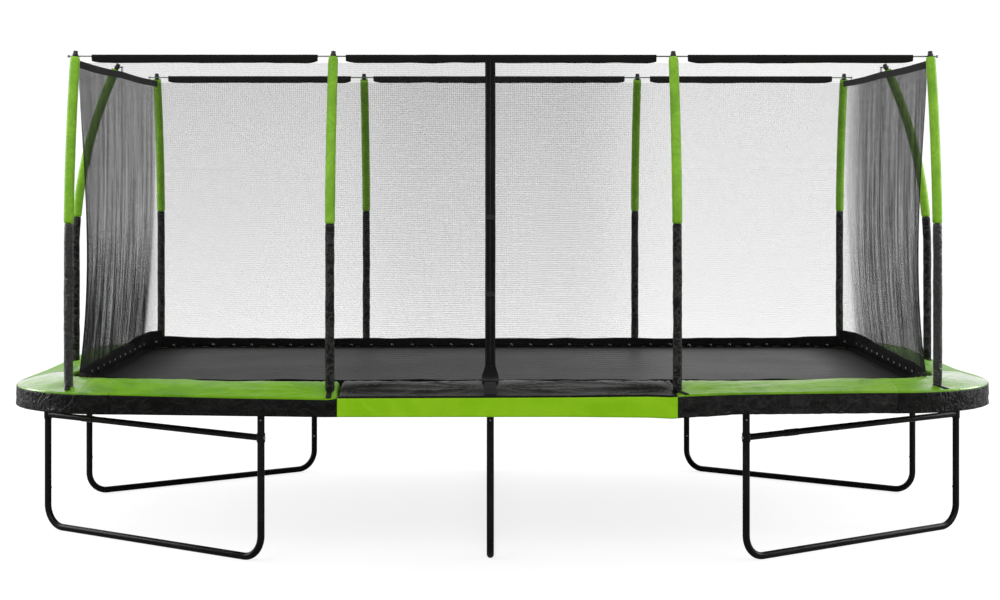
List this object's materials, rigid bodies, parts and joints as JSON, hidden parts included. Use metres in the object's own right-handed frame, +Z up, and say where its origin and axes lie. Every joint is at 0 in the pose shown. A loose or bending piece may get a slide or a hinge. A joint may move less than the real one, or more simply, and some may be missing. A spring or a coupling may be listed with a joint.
{
  "type": "trampoline",
  "caption": "Rectangular garden trampoline on U-shaped legs, with a sprung mat, safety pads and a net enclosure on padded poles.",
  "frame": {"origin": "on the ground, in the middle of the frame", "axes": "+X along the frame, +Y away from the entrance side, +Z up"},
  "size_m": [5.3, 3.13, 2.6804],
  "materials": {
    "powder_black": "gloss powder coat",
    "zinc": "zinc plated",
    "spring_steel": "galvanised wire",
    "black_vinyl": "wrinkled glossy vinyl",
    "green_foam": "smooth foam skin",
    "black_plastic": "moulded plastic",
    "grey_rod": "bare rod",
    "black_webbing": "woven webbing",
    "net_mesh": "knitted polyester mesh",
    "dark_metal": "painted zip slider",
    "black_pad_vinyl": "vinyl over foam",
    "green_pad_vinyl": "vinyl over foam",
    "mat_weave": "woven polypropylene"
  },
  "bodies": {
    "frame": {"rail_front_left": "powder_black", "rail_front_right": "powder_black", "rail_back_left": "powder_black", "rail_back_right": "powder_black", "rail_left": "powder_black", "rail_right": "powder_black", "corner_front_left": "powder_black", "corner_front_right": "powder_black", "corner_back_left": "powder_black", "corner_back_right": "powder_black", "leg_sockets": "powder_black", "pole_sockets": "powder_black", "base_front_left": "powder_black", "base_front_right": "powder_black", "base_back_left": "powder_black", "base_back_right": "powder_black", "base_middle": "powder_black", "leg_uprights": "powder_black", "leg_screws": "zinc", "brace_front_left": "powder_black", "brace_front_right": "powder_black", "brace_back_left": "powder_black", "brace_back_right": "powder_black", "brace_couplings": "powder_black", "brace_clamps": "powder_black", "brace_bolts": "zinc", "pole_lower_tubes": "powder_black", "pole_upper_tubes": "powder_black", "vinyl_sleeves": "black_vinyl", "foam_sleeves": "green_foam", "pole_caps": "black_plastic", "pole_hooks": "black_plastic", "top_rod_front": "grey_rod", "top_rod_back": "grey_rod", "top_strap_left": "black_webbing", "top_strap_right": "black_webbing", "net_front": "net_mesh", "net_back": "net_mesh", "net_left": "net_mesh", "net_right": "net_mesh", "entrance_band": "black_webbing", "buckle_sockets": "black_plastic", "zip_tape": "black_webbing", "pad_front_left": "green_pad_vinyl", "pad_front_middle": "black_pad_vinyl", "pad_front_right": "green_pad_vinyl", "pad_back_left": "green_pad_vinyl", "pad_back_middle": "black_pad_vinyl", "pad_back_right": "green_pad_vinyl", "pad_left": "green_pad_vinyl", "pad_right": "green_pad_vinyl", "corner_pads": "green_pad_vinyl", "springs": "spring_steel"},
    "bed": {"mat": "mat_weave", "mat_border": "black_webbing", "v_rings": "zinc", "net_ties": "black_plastic"},
    "upper_plug": {"buckle_plug_upper": "black_plastic"},
    "lower_plug": {"buckle_plug_lower": "black_plastic"},
    "slider": {"zip_slider": "dark_metal"}
  },
  "joints": [
    {"name": "bed_bounce", "type": "slide", "parent": "frame", "child": "bed", "axis": [0, 0, 1], "range_m": [-0.15, 0], "stiffness_N_per_m": 8000, "springref_m": 0.06, "deforming": ["springs"]},
    {"name": "upper_buckle_release", "type": "slide", "parent": "frame", "child": "upper_plug", "axis": [-1, 0, 0], "range_m": [0, 0.03]},
    {"name": "lower_buckle_release", "type": "slide", "parent": "frame", "child": "lower_plug", "axis": [-1, 0, 0], "range_m": [0, 0.03]},
    {"name": "zip_pull", "type": "slide", "parent": "frame", "child": "slider", "axis": [0, 0, 1], "range_m": [0, 1.5]}
  ]
}
